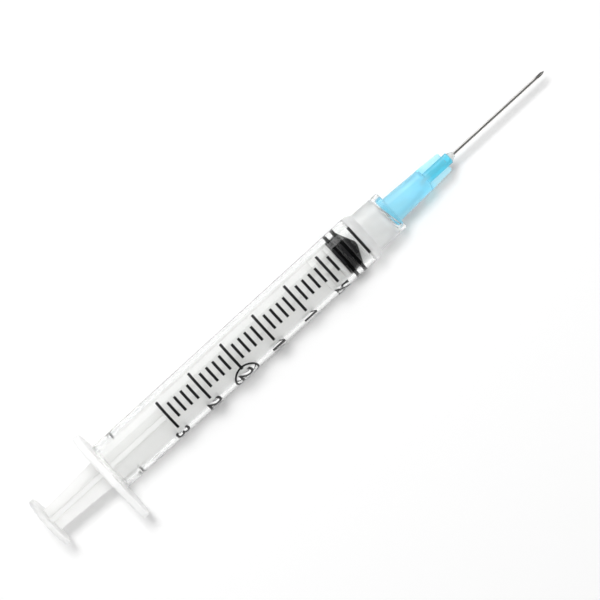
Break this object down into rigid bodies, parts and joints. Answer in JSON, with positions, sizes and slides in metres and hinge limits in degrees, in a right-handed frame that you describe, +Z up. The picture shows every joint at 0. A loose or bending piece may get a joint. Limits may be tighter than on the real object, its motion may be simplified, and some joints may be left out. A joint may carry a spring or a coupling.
{
  "type": "hypodermic syringe",
  "caption": "Disposable hypodermic syringe with a clear graduated barrel, white plunger rod, black rubber stopper, Luer-lock collar and a fitted needle with a light blue hub.",
  "frame": {"origin": "on the barrel's axis, at the front face of the finger flange", "axes": "+X along the barrel's axis toward the needle's point, +Z up from the surface the syringe lies on, out through the middle of the printed scale, +Y toward the flange's short wing"},
  "size_m": [0.133, 0.0213, 0.012],
  "materials": {
    "clear_barrel": "clear, glossy",
    "white_rod": "satin",
    "black_rubber": "satin",
    "blue_hub": "translucent, glossy",
    "steel_tube": "polished",
    "clear_glue": "clear, glossy"
  },
  "bodies": {
    "barrel": {"barrel": "clear_barrel"},
    "stopper": {"stopper": "black_rubber"},
    "plunger": {"plunger_rod": "white_rod"},
    "needle": {"needle_hub": "blue_hub", "cannula": "steel_tube", "needle_adhesive": "clear_glue"}
  },
  "joints": [
    {"name": "plunger_slide", "type": "slide", "parent": "barrel", "child": "stopper", "axis": [1, 0, 0], "range_m": [-0.054, 0.002]},
    {"name": "plunger_turn", "type": "hinge", "parent": "stopper", "child": "plunger", "pos_m": [0, 0, 0], "axis": [1, 0, 0], "continuous": true},
    {"name": "needle_pull", "type": "slide", "parent": "barrel", "child": "needle", "axis": [1, 0, 0], "range_m": [0, 0.012]}
  ]
}
